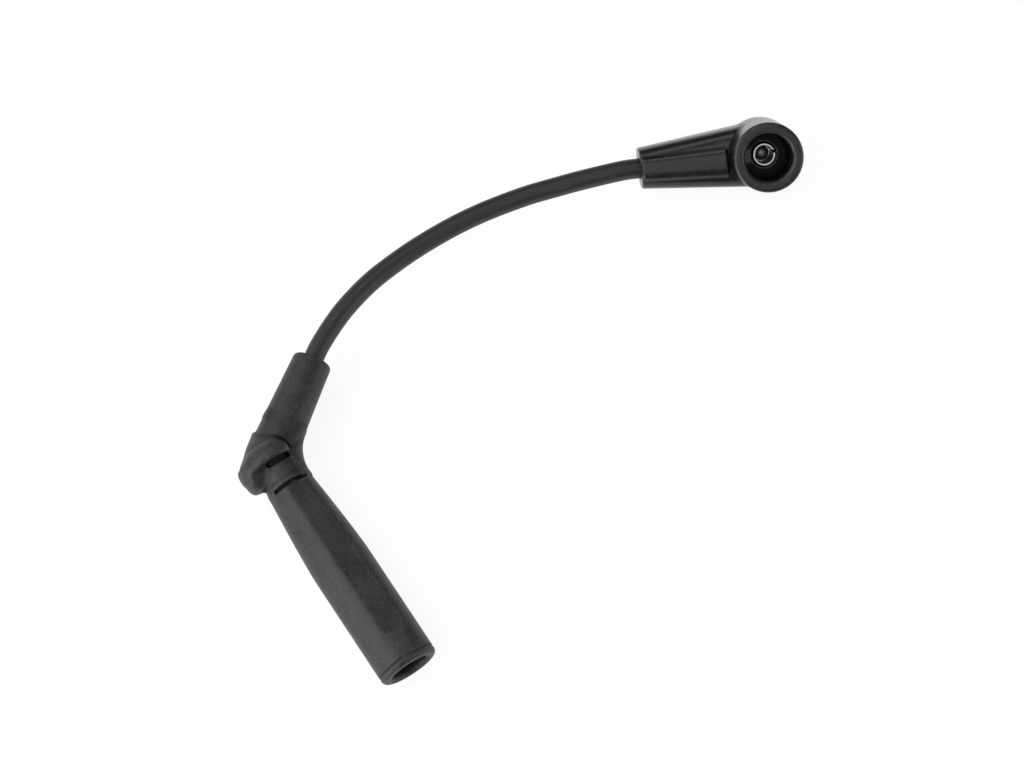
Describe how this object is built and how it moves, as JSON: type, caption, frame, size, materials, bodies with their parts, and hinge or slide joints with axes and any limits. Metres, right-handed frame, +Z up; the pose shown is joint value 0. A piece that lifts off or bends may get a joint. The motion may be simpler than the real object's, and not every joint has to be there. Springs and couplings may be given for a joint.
{
  "type": "spark plug wire",
  "caption": "Short ignition lead: a bent rubber spark plug boot and a right-angle coil boot joined by a thin flexible cable, with a metal terminal inside each boot.",
  "frame": {"origin": "on the surface the lead lies on, under the middle of the box that holds the two boots", "axes": "+X along the plug boot's barrel out of its mouth (which dips by 1 degree), +Y from the plug boot towards the coil boot, +Z up"},
  "size_m": [0.1296, 0.229, 0.0359],
  "materials": {
    "plug_rubber": "matte black moulded rubber, dusty, with fine mottling",
    "coil_rubber": "semi-gloss black moulded rubber",
    "jacket": "satin black cable jacket",
    "plated_steel": "bright plated sheet steel",
    "spring_steel": "drawn spring wire",
    "dull_contact": "dull plated rivet",
    "carbon_core": "matte black carbon-filled core"
  },
  "bodies": {
    "root": {"plug_boot": "plug_rubber", "plug_terminal": "plated_steel", "plug_terminal_clip": "spring_steel", "plug_cable_end": "jacket", "plug_core_end": "carbon_core", "coil_boot": "coil_rubber", "coil_terminal": "plated_steel", "coil_contact": "dull_contact", "coil_cable_end": "jacket", "coil_core_end": "carbon_core", "cable": "jacket"}
  },
  "joints": []
}
